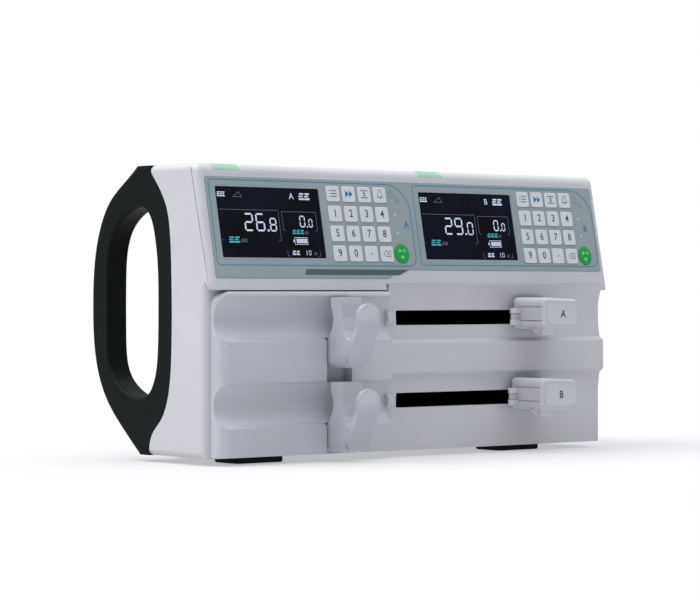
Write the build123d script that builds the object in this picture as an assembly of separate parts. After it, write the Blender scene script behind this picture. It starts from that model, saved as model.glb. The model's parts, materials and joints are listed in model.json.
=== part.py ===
"""Two-channel syringe pump: a bench-top infusion pump that drives two syringes side by side.

Millimetres.  The design frame has X to the right from the left side wall, Y to the rear from the
lower front face and Z up from the underside of the case.  Every sub-part is drawn in it, then moved
by SHIFT, so that the written origin is the bottom centre of the whole object, at the soles of the feet.
"""
import math
import os

from build123d import *

# ---------------------------------------------------------------- case
CASE_W = 396.6            # width of the hood
LOWER_W = 395.2           # right face of the case below the hood
CASE_H = 214.0            # height without feet
CASE_D = 130.0            # lower front face to rear face
WALL = 3.0
SPLIT_Y = 72.0            # joint plane between the front and rear shells
END_ROUND = 5.0           # rounding of the left side's edges
RIGHT_ROUND = 1.5
FOOT_H = 5.0
CORNER_CUT_X = 80.0       # the rear left corner is cut away behind the handle up to here
CORNER_CUT_Y = 70.0
HOOD_CORNER_R = 10.0      # rounding of the hood's lower left corner
HOOD_NOTCH_X = 164.0      # the hood's lip stops here, above the end of the cradle

# ---------------------------------------------------------------- tilted control panel
PANEL_TILT = 11.5         # degrees back from vertical
PANEL_FOOT_Z = 122.0      # lower lip of the panel
PANEL_REF_Z = 125.0
PANEL_REF_Y = -8.0        # panel surface at PANEL_REF_Z
CHANNEL_SHIFT = 194.1     # from channel A's controls to channel B's
SCREEN_W, SCREEN_H = 95.0, 52.0
SCREEN_X, SCREEN_S = 13.9, 21.4       # lower left corner of screen A: X, and distance up the panel
WINDOW_GROW, GLASS_GROW = 0.5, 1.1    # margins of the film's window and of the glass round the screen
KEY_W, KEY_H = 12.7, 12.4
KEY_PITCH = 15.25
KEY_X, KEY_S = 122.5, 24.8            # centre of the lower left key of channel A
KEY_PROUD = 0.6
KEY_THICK = 1.8
KEY_GAP = 0.35
START_X, START_S = 183.2, 25.0
START_R = 7.1
OVERLAY_T = 0.8
OVERLAY_PROUD = 0.3

# ---------------------------------------------------------------- syringe side
AXIS_A, AXIS_B = 100.9, 38.2          # heights of the two syringe axes
CRADLE_X0, CRADLE_X1 = 5.0, 166.0
CRADLE_FOOT, CRADLE_TOP = 1.0, 121.0
CRADLE_PROUD = 12.0
CRADLE_SHOULDER = 11.0                # rounding of the upper left corner
TROUGH_R = 19.6
TROUGH_DEEP = 9.0
RAIL_PROUD = 10.0                     # ridge between the two drive channels
CHANNEL_R = 43.0
CHANNEL_Y = -3.8                      # floor of the drive channels
SLOT_X0, SLOT_X1 = 176.7, 352.0
SLOT_H = 11.3
UPPER_CHANNEL_Z, LOWER_CHANNEL_Z = 105.0, 35.0        # centre heights of the two channels
SENSOR_X, SENSOR_R, SENSOR_FRONT = 169.0, 5.8, -8.0   # domed flange sensors right of the cradle
SENSOR_DOME_R = 7.0

# ---------------------------------------------------------------- barrel clamps
CLAMP_X0, CLAMP_X1 = 104.8, 125.2
CLAMP_FRONT = -47.0
RECESS_GAP = 1.9
CLAMP_ROD_R = 3.5
CLAMP_ROD_DROP = 25.5                 # rod axis below the syringe axis
SHAFT_GAP = 0.05                      # running clearance round every moving shaft

# ---------------------------------------------------------------- plunger drives
HEAD_W, HEAD_H = 39.0, 24.8
HEAD_FRONT, HEAD_REAR = -43.6, -9.0
HEAD_X = {"a": 294.0, "b": 292.0}     # left face of each head at rest
HEAD_DROP = 9.2                       # underside of the head below the syringe axis
BUTTON_X0, BUTTON_X1 = 7.0, 21.0       # release button, from the left face of the head
DRIVE_Y = 30.0                        # plane of the screws and guide rods
SCREW_R = 4.0
ROD_R = 4.0
ROD_SPREAD = 22.0
SCREW_DROP = 12.0                     # leadscrew below the syringe axis, out of sight of the slot
PLATE_L, PLATE_R = 164.0, 376.0       # left faces of the two chassis end plates
PLATE_T = 6.0
MOTOR_FACE_X = 102.0
MOTOR_SIZE, MOTOR_LEN = 35.0, 36.0

CLAMP_X = (CLAMP_X0 + CLAMP_X1) / 2
CLAMP_ROD_END = 44.0
RECESS_Y = -3.0                       # back of the recess that holds each clamp
BUSH_R = 6.0
BUSH_Y1 = 12.0
JOURNAL_R = 2.5
COUPLER_R = 7.0
BEARING_R = 5.5
CHASSIS_BACK = 52.0
RAIL_X1 = 392.4                       # right end of the drive channels
RIDGE_Z0, RIDGE_Z1 = 58.9, 82.2        # front face of the ridge between the channels
RIDGE_FLANK, RIDGE_FOOT_Y = 2.7, -5.9  # height of its steep flanks, and where they end
RIDGE_ROUND = 2.0

# ---------------------------------------------------------------- handle, rear side and inner parts
HANDLE_T = 18.5
HANDLE_SEAT_Y = 38.0                  # the case closes behind the handle from here to the corner cut
HANDLE_REAR = 145.0
LIGHT_SHIFT = 196.4
POSTS = [(150, 12), (387.4, 12), (387.4, 202), (150, 202)]
POST_R = 4.5
MOUNT_X, MOUNT_Z = 237.0, 120.0       # centre of the pole clamp's screw pattern on the rear face
MOUNT_PITCH = 50.0
MOUNT_HOLE_R = 2.5
INLET_X, INLET_Z = 330.0, 42.0
BOARD_Y = 96.0
KEY_POCKET = 2.0
FOOT_W, FOOT_D = 44.0, 30.0
FEET = [(35, 8), (294, 8), (98, 92), (294, 92)]

SHIFT = Vector(-CASE_W / 2, -(CLAMP_FRONT + HANDLE_REAR) / 2, FOOT_H)
CHANNELS = {"a": AXIS_A, "b": AXIS_B}
panel_tan = math.tan(math.radians(PANEL_TILT))
panel_top_y = PANEL_REF_Y + (CASE_H - PANEL_REF_Z) * panel_tan
panel_foot_y = PANEL_REF_Y + (PANEL_FOOT_Z - PANEL_REF_Z) * panel_tan
PANEL = Plane(
    origin=(0, PANEL_REF_Y, PANEL_REF_Z),
    x_dir=(1, 0, 0),
    z_dir=(0, -math.cos(math.radians(PANEL_TILT)), math.sin(math.radians(PANEL_TILT))),
)


# ---------------------------------------------------------------- helpers
def span_box(x0, x1, y0, y1, z0, z1):
    """A box given by its limits."""
    return Pos((x0 + x1) / 2, (y0 + y1) / 2, (z0 + z1) / 2) * Box(x1 - x0, y1 - y0, z1 - z0)


def rod_x(x0, x1, y, z, r):
    """A cylinder along X."""
    return Pos((x0 + x1) / 2, y, z) * Rot(0, 90, 0) * Cylinder(r, x1 - x0)


def rod_y(x, y0, y1, z, r):
    """A cylinder along Y."""
    return Pos(x, (y0 + y1) / 2, z) * Rot(90, 0, 0) * Cylinder(r, y1 - y0)


def prism_x(face, x0, x1):
    """A face drawn with (Y, Z) as its coordinates, extruded from x0 to x1."""
    solid = extrude(face, amount=x1 - x0)
    return Plane(origin=(x0, 0, 0), x_dir=(0, 1, 0), z_dir=(1, 0, 0)) * solid


def prism_y(face, y0, y1):
    """A face drawn with (X, Z) as its coordinates, extruded from y0 to y1."""
    solid = extrude(face, amount=y1 - y0)
    return Plane(origin=(0, y1, 0), x_dir=(1, 0, 0), z_dir=(0, -1, 0)) * solid


def on_panel(face, depth0, depth1):
    """A face drawn in panel coordinates, extruded between two heights above the panel surface."""
    solid = extrude(Pos(0, 0, depth0) * face, amount=depth1 - depth0)
    return PANEL * solid


def polygon(points):
    return make_face(Polyline(points, close=True))


def rounded_rect(x0, x1, y0, y1, r):
    return Pos((x0 + x1) / 2, (y0 + y1) / 2) * RectangleRounded(x1 - x0, y1 - y0, r)


# ---------------------------------------------------------------- case shells
def case_profile(inset):
    """Side profile of the case: upright lower front, lip, tilted panel, flat top and back."""
    lean = inset / math.cos(math.radians(PANEL_TILT))
    points = [
        (inset, inset),
        (inset, PANEL_FOOT_Z + inset),
        (panel_foot_y + inset * panel_tan + lean, PANEL_FOOT_Z + inset),
        (panel_top_y - inset * panel_tan + lean, CASE_H - inset),
        (CASE_D - inset, CASE_H - inset),
        (CASE_D - inset, inset),
    ]
    face = polygon(points)
    corners = face.vertices().sort_by(Axis.Y)
    top_front, top_rear = sorted(corners[-2:], key=lambda v: v.X)
    bottom_rear = sorted(corners[:2], key=lambda v: v.X)[1]
    face = fillet([top_front, top_rear, bottom_rear], 8.0 - inset)
    return face


def corner_cutter(inset):
    """The wedge removed from the rear left corner to leave finger room behind the handle."""
    reach = CASE_D + 20
    slope = (CASE_D - CORNER_CUT_Y) / (CORNER_CUT_X - HANDLE_T)
    wedge = Polyline(
        [
            (-5, CORNER_CUT_Y - inset),
            (HANDLE_T + inset, CORNER_CUT_Y - inset),
            (HANDLE_T + inset + (reach - CORNER_CUT_Y) / slope, reach),
            (-5, reach),
        ],
        close=True,
    )
    return extrude(make_face(wedge), amount=CASE_H)


def drive_rail():
    """Front of the drive side: two concave channels for the plunger heads with a ridge between them."""
    top = PANEL_FOOT_Z + 4.5
    rise = top - UPPER_CHANNEL_Z
    top_y = CHANNEL_Y - CHANNEL_R + math.sqrt(CHANNEL_R**2 - rise**2)
    middle_y = CHANNEL_Y - CHANNEL_R + math.sqrt(CHANNEL_R**2 - rise**2 / 4)
    flank_low = (RIDGE_FOOT_Y, RIDGE_Z0 - RIDGE_FLANK)
    flank_high = (RIDGE_FOOT_Y, RIDGE_Z1 + RIDGE_FLANK)
    flat_end = (CHANNEL_Y, LOWER_CHANNEL_Z)
    deepest = (CHANNEL_Y, UPPER_CHANNEL_Z)
    outline = [
        Polyline((2 * WALL, 0), (CHANNEL_Y, 0), flat_end),
        TangentArc(flat_end, flank_low, tangent=(0, 1)),
        Polyline(flank_low, (-RAIL_PROUD, RIDGE_Z0), (-RAIL_PROUD, RIDGE_Z1), flank_high),
        TangentArc(deepest, flank_high, tangent=(0, -1)),
        ThreePointArc(deepest, (middle_y, UPPER_CHANNEL_Z + rise / 2), (top_y, top)),
        Polyline((top_y, top), (2 * WALL, top), (2 * WALL, 0)),
    ]
    face = make_face(outline)
    ridge = [v for v in face.vertices() if abs(v.X + RAIL_PROUD) < 0.01 and 40 < v.Y < 100]
    face = fillet(ridge, RIDGE_ROUND)
    rail = prism_x(face.faces()[0], CRADLE_X1, RAIL_X1)
    end = rail.faces().sort_by(Axis.X)[-1]
    return chamfer([e for e in end.edges() if e.center().Y < -2], 1.2)


def overlay_outline(grow):
    """Panel film outline, with its lower edge stepping up beside the cradle."""
    left, right = 5.2 - grow, 393.0 + grow
    low, high = 5.8 - grow, 12.6 - grow
    top = 80.9 + grow
    points = [(left, low), (168, low), (178, high), (right, high), (right, top), (left, top)]
    face = polygon(points)
    steps = [v for v in face.vertices() if 160 < v.X < 185]
    face = fillet(steps, 8.0)
    outer = [v for v in face.vertices() if v.X < left + 1 or v.X > right - 1]
    return fillet(outer, 2.5)


def key_centres():
    """Name suffix and panel position of every rectangular key."""
    labels = [
        ["9", "0", "point", "clear"],
        ["5", "6", "7", "8"],
        ["1", "2", "3", "4"],
        ["menu", "purge", "limit", "mute"],
    ]
    for channel, shift in (("a", 0.0), ("b", CHANNEL_SHIFT)):
        for row, names in enumerate(labels):
            for column, label in enumerate(names):
                x = KEY_X + shift + column * KEY_PITCH
                yield f"{channel}_{label}", x, KEY_S + row * KEY_PITCH


def start_centres():
    for channel, shift in (("a", 0.0), ("b", CHANNEL_SHIFT)):
        yield f"{channel}_start", START_X + shift, START_S


def screen_rects(grow):
    for shift in (0.0, CHANNEL_SHIFT):
        x0 = SCREEN_X + shift
        s0, s1 = SCREEN_S - grow, SCREEN_S + SCREEN_H + grow
        yield rounded_rect(x0 - grow, x0 + SCREEN_W + grow, s0, s1, 1.0)


def case_outer():
    body = prism_x(case_profile(0), 0, CASE_W)
    ends = body.faces().sort_by(Axis.X)
    body = fillet(ends[0].edges(), END_ROUND)
    return fillet(body.faces().sort_by(Axis.X)[-1].edges(), RIGHT_ROUND)


outer_body = case_outer()


def light_blocks():
    """Space of the two alarm lights in the top front edge."""
    blocks = [span_box(14 + s, 38.6 + s, 4, 17, 208.8, CASE_H + 1) for s in (0.0, LIGHT_SHIFT)]
    return blocks[0] + blocks[1]


def hood_corner():
    """What is cut from the hood to round its lower left corner."""
    low, r = (PANEL_FOOT_Z - PANEL_REF_Z) / math.cos(math.radians(PANEL_TILT)) - 1, HOOD_CORNER_R
    square = Pos((r - 1) / 2, low + r / 2) * Rectangle(r + 1, r)
    return on_panel(square - Pos(r, low + r) * Circle(r), -8, 2)


def hood_seam():
    """Fine groove down the side wall where the hood meets it."""
    points = [(-4.6, 128), (-3.4, 128), (6.9, 168), (18.6, 215), (17.4, 215), (5.7, 168)]
    return prism_x(polygon(points), -1, 0.6)


def case_shells():
    """Front and rear shells of the case."""
    rail = drive_rail()
    for axis in CHANNELS.values():
        sensor = rod_y(SENSOR_X, SENSOR_FRONT, 0, axis, SENSOR_R)
        sensor = sensor & (Pos(SENSOR_X, SENSOR_FRONT + SENSOR_DOME_R, axis) * Sphere(SENSOR_DOME_R))
        rail += sensor & span_box(CRADLE_X1 + 0.3, SLOT_X0, -12, 0, 0, CASE_H)
    lip_trim = span_box(CRADLE_X1, CASE_W + 1, -60, -4, PANEL_FOOT_Z - 1, PANEL_FOOT_Z + 4.5)
    lip_trim = lip_trim & rod_x(CRADLE_X1, CASE_W + 1, CHANNEL_Y - CHANNEL_R, UPPER_CHANNEL_Z, CHANNEL_R)
    lip_trim += span_box(HOOD_NOTCH_X, CRADLE_X1 + 0.5, -60, -4, PANEL_FOOT_Z - 1, PANEL_FOOT_Z + 4.5)
    inner = prism_x(case_profile(WALL), WALL, LOWER_W - WALL) - corner_cutter(WALL)
    inner -= span_box(0, HANDLE_T + WALL, HANDLE_SEAT_Y, CORNER_CUT_Y, 0, CASE_H)
    right_step = span_box(LOWER_W, CASE_W + 1, -60, CASE_D + 1, -1, PANEL_FOOT_Z)
    shell = outer_body - corner_cutter(0) - right_step - lip_trim + rail - inner
    for x, z in POSTS:
        shell += rod_y(x, WALL, CASE_D - 1, z, POST_R) & outer_body
    shell += span_box(MOUNT_X - 35, MOUNT_X + 35, CASE_D - 9, CASE_D - 1, MOUNT_Z - 35, MOUNT_Z + 35)
    for x, z in POSTS:
        shell -= rod_y(x, 20, CASE_D + 1, z, 1.6)
        shell -= rod_y(x, CASE_D - 3.5, CASE_D + 1, z, 3.6)
    for dx in (-MOUNT_PITCH / 2, MOUNT_PITCH / 2):
        for dz in (-MOUNT_PITCH / 2, MOUNT_PITCH / 2):
            shell -= rod_y(MOUNT_X + dx, CASE_D - 8, CASE_D + 1, MOUNT_Z + dz, MOUNT_HOLE_R)
    for axis in CHANNELS.values():
        slot = Pos((SLOT_X0 + SLOT_X1) / 2, axis) * RectangleRounded(SLOT_X1 - SLOT_X0, SLOT_H, 1.2)
        shell -= prism_y(slot, -RAIL_PROUD - 1, WALL + 1)
        shell -= rod_y(CLAMP_X, -1, WALL + 1, axis - CLAMP_ROD_DROP, BUSH_R)
    shell -= on_panel(overlay_outline(0.2), OVERLAY_PROUD - OVERLAY_T, 4)
    for rect in screen_rects(GLASS_GROW + 0.2):
        shell -= on_panel(rect, -6, 1)
    for _, x, s in key_centres():
        shell -= on_panel(key_rect(x, s, 0.5), -KEY_POCKET, 1)
    for _, x, s in start_centres():
        shell -= on_panel(Pos(x, s) * Circle(START_R + 0.5), -KEY_POCKET, 1)
    shell -= light_blocks()
    shell -= hood_corner()
    shell -= hood_seam()
    shell -= handle_blank()
    inlet = span_box(INLET_X - 14, INLET_X + 14, CASE_D - 5, CASE_D + 1, INLET_Z - 10.5, INLET_Z + 10.5)
    shell -= inlet
    front = shell & span_box(-1, CASE_W + 1, -60, SPLIT_Y, -1, CASE_H + 1)
    rear = shell & span_box(-1, CASE_W + 1, SPLIT_Y, CASE_D + 1, -1, CASE_H + 1)
    return front, rear


# ---------------------------------------------------------------- carry handle
def handle_blank():
    """The carry handle without its finger hole: a plate in the plane of the left side wall."""
    front = [(67.3, CASE_H), (66.6, 209), (62.6, 204), (54.9, 195), (47.1, 182), (43, 164), (41, 129)]
    front += [(40.6, 107), (40.8, 90), (42.3, 60.5), (47.5, 38), (54, 27), (66, 15), (69, 7), (69.3, 0)]
    rear = [(83, 0), (94.8, 9.5), (108, 20.5), (124.5, 36.5), (135.5, 53.5), (141.5, 71), (144.4, 90)]
    rear += [(HANDLE_REAR, 107), (144.4, 129), (140.5, 154), (132, 175.5), (123.5, 187.5), (107.5, 200)]
    rear += [(86.5, CASE_H)]
    outline = [
        Spline(front),
        Line(front[-1], rear[0]),
        Spline(rear),
        Line(rear[-1], front[0]),
    ]
    return prism_x(make_face(outline), 0, HANDLE_T)


def finger_hole():
    points = [(59.3, 107), (59.5, 128), (61, 147), (64.2, 163), (69, 175.2), (75.5, 181.6), (83, 183.3)]
    points += [(93.5, 181), (105.5, 175), (115.5, 166), (122, 152), (124.3, 130), (124.6, 107), (124.3, 86)]
    points += [(122.6, 69), (117, 57.5), (106, 48.8), (94, 43.6), (82.5, 42), (73.5, 44.4), (67.2, 50.8)]
    points += [(62.6, 61), (60, 79)]
    return prism_x(make_face(Spline(points, periodic=True)), -1, HANDLE_T + 1)


def carry_handle():
    handle = handle_blank() - finger_hole()
    rims = handle.edges().filter_by(lambda e: e.bounding_box().size.X < 0.01 and e.length > 200)
    outside = [e for e in rims if e.center().Y > 75]
    handle = fillet([e for e in outside if e.center().X < 1], 2.5)
    inside = [e for e in handle.edges() if e.length > 200 and e.bounding_box().min.X > HANDLE_T - 0.01]
    return fillet([e for e in inside if e.center().Y > 75], 2.0)


# ---------------------------------------------------------------- syringe cradle and barrel clamps
def cradle():
    """Block with the two syringe troughs and, under each, the recess that holds its clamp."""
    block = span_box(CRADLE_X0, CRADLE_X1, -CRADLE_PROUD, 0, CRADLE_FOOT, CRADLE_TOP)
    upright = block.edges().filter_by(Axis.Z).sort_by(Axis.X)[:2].sort_by(Axis.Y)[0]
    block = fillet(upright, 11.5)
    bend_x, bend_z = CRADLE_X0 + CRADLE_SHOULDER, CRADLE_TOP - CRADLE_SHOULDER
    shoulder = span_box(CRADLE_X0 - 1, bend_x, -60, 1, bend_z, CASE_H)
    shoulder -= rod_y(bend_x, -61, 2, bend_z, CRADLE_SHOULDER)
    block -= shoulder
    top = block.edges().group_by(Axis.Z)[-1].filter_by(lambda e: e.center().Y < -1)
    block = fillet(top, 3.2)
    axis_y = TROUGH_R - TROUGH_DEEP
    for axis in CHANNELS.values():
        block -= rod_x(CRADLE_X0 - 1, CRADLE_X1 + 1, -CRADLE_PROUD - axis_y, axis, TROUGH_R)
        low = 0 if axis == AXIS_B else AXIS_B + 15.5
        x0, x1 = CLAMP_X0 - RECESS_GAP, CLAMP_X1 + RECESS_GAP
        block -= span_box(x0, x1, -CRADLE_PROUD - 1, RECESS_Y, low, axis - 14.5)
        block -= rod_y(CLAMP_X, -CRADLE_PROUD, 1, axis - CLAMP_ROD_DROP, BUSH_R)
    return block


def clamp_arm(axis):
    """Barrel clamp: hooked arm that bridges the trough, finger groove and a paddle that leans forward."""
    back = [(-4, -31), (-4, -20), (-9, -16.8), (-12.1, -13.4), (-15.8, -7.6), (-17.6, -1)]
    back += [(-17.4, 2), (-15.4, 7), (-14.4, 12), (-14.4, 15.9)]
    groove = [(-25.4, 15.9), (-26.2, 9.8), (-26.9, 0.4), (-29.1, -9), (-31.6, -14)]
    paddle = [(-38.9, -12.6), (-41.4, -7), (-42.5, 0.5), (-43, 8), (-43.6, 12), (CLAMP_FRONT, 12)]
    paddle += [(CLAMP_FRONT, 8.5), (-46.7, -6), (-43.4, -13.5), (-39.6, -20), (-35.8, -28), (-31.6, -34)]
    paddle += [(-26, -36.4), (-9, -36.4)]
    outline = [
        Polyline(back + groove),
        ThreePointArc(groove[-1], (-35, -15.6), paddle[0]),
        Polyline(paddle + [back[0]]),
    ]
    face = make_face(outline)
    bends = [v for v in face.vertices() if (abs(v.X + 46.7) < 0.1 or abs(v.X + 17.6) < 0.1)]
    face = fillet(bends, 3.0)
    arm = prism_x(face, CLAMP_X0, CLAMP_X1)
    half = (CLAMP_X1 - CLAMP_X0) / 2
    arm_front = Pos(CLAMP_X, -10) * Rectangle(2 * half, 54)
    paddle_front = Pos(CLAMP_X, -12.5) * RectangleRounded(2 * half, 47.6, half - 0.1)
    upper = arm & prism_y(arm_front, -31.0, 0) & prism_y(rounded_foot(half), -31.0, 0)
    tab = arm & prism_y(paddle_front, -60, -31.0)
    rim = [e for e in tab.edges() if e.center().Y < min(-31.5, paddle_line(e.center().Z))]
    tab = soften(tab, rim)
    return Pos(0, 0, axis) * (upper + tab)


def rounded_foot(half):
    """Front view of the clamp's arm: square at the top, rounded at its foot."""
    shape = Pos(CLAMP_X, -10.4) * RectangleRounded(2 * half, 52, 7)
    return shape + Pos(CLAMP_X, 8) * Rectangle(2 * half, 17)


def paddle_line(z):
    """Depth that separates the paddle's front rim from its rear rim."""
    return -41.0 + max(0.0, -z - 8.0) * 0.42


def soften(body, edges):
    """Round the given edges by the largest radius that the shape takes."""
    for r in (1.6, 1.2, 0.8, 0.5):
        try:
            return fillet(edges, r)
        except Exception:
            continue
    return body


def clamp_rod(axis):
    """Guide rod of a clamp with the collar that its spring pushes on."""
    z = axis - CLAMP_ROD_DROP
    rod = rod_y(CLAMP_X, -18, CLAMP_ROD_END, z, CLAMP_ROD_R)
    return rod + rod_y(CLAMP_X, CLAMP_ROD_END - 4, CLAMP_ROD_END, z, 7.0)


def clamp_spring(axis):
    """Coil spring round a clamp rod, between its bush and the rod's collar."""
    length = CLAMP_ROD_END - 4 - BUSH_Y1
    coil_r, wire_r = 5.2, 0.7
    helix = Helix(pitch=(length - 2 * wire_r) / 5, height=length - 2 * wire_r, radius=coil_r)
    start = Plane(origin=helix @ 0, z_dir=helix % 0)
    coil = sweep(start * Circle(wire_r), path=helix)
    return Pos(CLAMP_X, BUSH_Y1 + wire_r, axis - CLAMP_ROD_DROP) * Rot(-90, 0, 0) * coil


# ---------------------------------------------------------------- plunger drives
def drive_head(channel, axis):
    """Rounded head that pushes the plunger, with two claws, and a pocket for the release button."""
    x0 = HEAD_X[channel]
    x1 = x0 + HEAD_W
    low, high = axis - HEAD_DROP, axis - HEAD_DROP + HEAD_H
    head = span_box(x0, x1, HEAD_FRONT, HEAD_REAR, low, high)
    slope = polygon([(x0 - 1, high), (x1 + 1, high - 1.8), (x1 + 1, high + 1), (x0 - 1, high + 1)])
    head -= prism_y(slope, HEAD_FRONT - 1, HEAD_REAR + 1)
    corners = head.edges().filter_by(Axis.Y).sort_by(Axis.X)
    head = fillet(corners[:2], 4.0)
    head = fillet(head.edges().filter_by(Axis.Y).sort_by(Axis.X)[-2:], 6.0)
    head = fillet(head.faces().sort_by(Axis.Y)[0].edges(), 3.0)
    plate = prism_y(rounded_rect(x0 + 3.2, x1 - 3.2, low + 3, high - 4, 4.5), HEAD_FRONT - 0.4, HEAD_FRONT + 2)
    head += plate
    for z in (axis + 8.2, axis - 2.6):
        head -= span_box(x0 - 1, x0 + 0.8, -40.4, HEAD_REAR - 6, z - 0.35, z + 0.35)
    for z0, z1 in ((axis + 3.0, axis + 7.3), (axis - 6.2, axis - 1.7)):
        claw = span_box(x0 - 8, x0 + 1, -17, -12.5, z0, z1)
        head += fillet(claw.edges().filter_by(Axis.Z).sort_by(Axis.X)[:2], 1.0)
    head += span_box(x0 - 7, x0 + 1, -16, -13, axis - 1.4, axis + 2.7)
    for x in (x0 - 6, x0 - 4.2, x0 - 2.4):
        head -= span_box(x, x + 0.7, -16.1, -15.2, axis - 2, axis + 3)
    pocket_x0, pocket_x1 = x0 + BUTTON_X0 - 0.3, x0 + BUTTON_X1 + 0.3
    head -= span_box(pocket_x0, pocket_x1, -33.3, -26.7, low - 1, low + 7.6)
    wedge = polygon([(x0 + 0.5, low + 0.5), (pocket_x0 - 0.5, low + 0.5), (pocket_x0 - 0.5, low - 4.5)])
    return head + prism_y(wedge, -33, -28)


def clutch_button(channel, axis):
    """Button under the head, pressed upwards to release the half nut."""
    x0 = HEAD_X[channel]
    low = axis - HEAD_DROP
    button = span_box(x0 + BUTTON_X0, x0 + BUTTON_X1, -33, -27, low - 4.8, low + 4)
    bottom = button.faces().sort_by(Axis.Z)[0].edges()
    return fillet(bottom, 1.2)


def carriage(channel, axis):
    """Nut block that rides on the guide rods, with the arm through the slot that carries the head."""
    x0 = HEAD_X[channel] + 4
    block = span_box(x0, x0 + 34, DRIVE_Y - 10, DRIVE_Y + 10, axis - 29, axis + 29)
    block = fillet(block.edges().filter_by(Axis.X), 3.0)
    block -= rod_x(x0 - 1, x0 + 35, DRIVE_Y, axis - SCREW_DROP, SCREW_R + SHAFT_GAP)
    for dz in (-ROD_SPREAD, ROD_SPREAD):
        block -= rod_x(x0 - 1, x0 + 35, DRIVE_Y, axis + dz, ROD_R + SHAFT_GAP)
    arm = span_box(x0 + 2, x0 + 30, HEAD_REAR, DRIVE_Y - 10, axis - 4.6, axis + 4.6)
    return block + arm


def leadscrew(axis):
    """Leadscrew with its coupler to the motor shaft at the left and journals in the two bearings."""
    z = axis - SCREW_DROP
    screw = rod_x(PLATE_L + PLATE_T + 2, PLATE_R - 2, DRIVE_Y, z, SCREW_R)
    screw += rod_x(MOTOR_FACE_X - 10, PLATE_R + PLATE_T, DRIVE_Y, z, JOURNAL_R)
    return screw + rod_x(PLATE_L - 24, PLATE_L - 6, DRIVE_Y, z, COUPLER_R)


def shaft_bearings():
    """Bearings of both leadscrews, and the bushes in which the clamp rods slide."""
    pieces = []
    for axis in CHANNELS.values():
        for x in (PLATE_L, PLATE_R):
            ring = rod_x(x, x + PLATE_T, DRIVE_Y, axis - SCREW_DROP, BEARING_R)
            bore = rod_x(x - 1, x + PLATE_T + 1, DRIVE_Y, axis - SCREW_DROP, JOURNAL_R + SHAFT_GAP)
            pieces.append(ring - bore)
        z = axis - CLAMP_ROD_DROP
        bush = rod_y(CLAMP_X, RECESS_Y, BUSH_Y1, z, BUSH_R) + rod_y(CLAMP_X, WALL, WALL + 2, z, BUSH_R + 2)
        pieces.append(bush - rod_y(CLAMP_X, -10, BUSH_Y1 + 1, z, CLAMP_ROD_R + SHAFT_GAP))
    return pieces


def guide_rods():
    rods = []
    for axis in CHANNELS.values():
        for dz in (-ROD_SPREAD, ROD_SPREAD):
            rods.append(rod_x(PLATE_L, PLATE_R + PLATE_T, DRIVE_Y, axis + dz, ROD_R))
    return rods


def drive_chassis():
    """Black frame behind the slots: two end plates joined by a back plate, and a motor plate."""
    low, high = 8.0, 132.0
    frame = span_box(PLATE_L, PLATE_L + PLATE_T, 10, CHASSIS_BACK, low, high)
    frame += span_box(PLATE_R, PLATE_R + PLATE_T, 10, CHASSIS_BACK, low, high)
    frame += span_box(MOTOR_FACE_X, PLATE_R + PLATE_T, CHASSIS_BACK - 3, CHASSIS_BACK, low, high)
    frame += span_box(MOTOR_FACE_X, MOTOR_FACE_X + 3, 10, CHASSIS_BACK, low, high)
    for x in (PLATE_L + 40, PLATE_R - 40):
        frame += span_box(x, x + 16, CHASSIS_BACK, CHASSIS_BACK + 12, WALL, 12)
        frame -= rod_z_hole(x + 8, CHASSIS_BACK + 6)
    for axis in CHANNELS.values():
        for x in (PLATE_L, PLATE_R):
            frame -= rod_x(x - 1, x + PLATE_T + 1, DRIVE_Y, axis - SCREW_DROP, BEARING_R)
            for dz in (-ROD_SPREAD, ROD_SPREAD):
                frame -= rod_x(x - 1, x + PLATE_T + 1, DRIVE_Y, axis + dz, ROD_R)
        frame -= rod_x(MOTOR_FACE_X - 1, MOTOR_FACE_X + 4, DRIVE_Y, axis - SCREW_DROP, 11.0)
    for x, z in POSTS:
        frame -= rod_y(x, 0, CHASSIS_BACK + 1, z, POST_R + 1)
    return frame


def rod_z_hole(x, y):
    """Fixing hole through a chassis foot."""
    return Pos(x, y, 8) * Cylinder(2.2, 16)


def drive_motors():
    motors = []
    half = MOTOR_SIZE / 2
    face = MOTOR_FACE_X
    for axis in CHANNELS.values():
        z = axis - SCREW_DROP
        motor = span_box(face - MOTOR_LEN, face, DRIVE_Y - half, DRIVE_Y + half, z - half, z + half)
        motor = fillet(motor.edges().filter_by(Axis.X), 3.5)
        motor += rod_x(face, face + 2.5, DRIVE_Y, z, 10.5)
        motors.append(motor - rod_x(face - 12, face + 3, DRIVE_Y, z, JOURNAL_R + SHAFT_GAP))
    return motors


# ---------------------------------------------------------------- panel parts
def key_rect(x, s, grow):
    half_w, half_h = KEY_W / 2 + grow, KEY_H / 2 + grow
    return rounded_rect(x - half_w, x + half_w, s - half_h, s + half_h, 1.6 + grow)


def panel_overlay():
    film = on_panel(overlay_outline(0.0), OVERLAY_PROUD - OVERLAY_T, OVERLAY_PROUD)
    for rect in screen_rects(WINDOW_GROW):
        film -= on_panel(rect, -2, 2)
    for _, x, s in key_centres():
        film -= on_panel(key_rect(x, s, KEY_GAP), -2, 2)
    for _, x, s in start_centres():
        film -= on_panel(Pos(x, s) * Circle(START_R + KEY_GAP), -2, 2)
    return film


def key_pad(face):
    """One pad, standing a little proud of the film, with its travel free below it."""
    top = OVERLAY_PROUD + KEY_PROUD
    pad = on_panel(face, top - KEY_THICK, top)
    crown = pad.faces().sort_by(lambda f: (f.center() - PANEL.origin).dot(PANEL.z_dir))[-1]
    return fillet(crown.edges(), 0.5)


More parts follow.
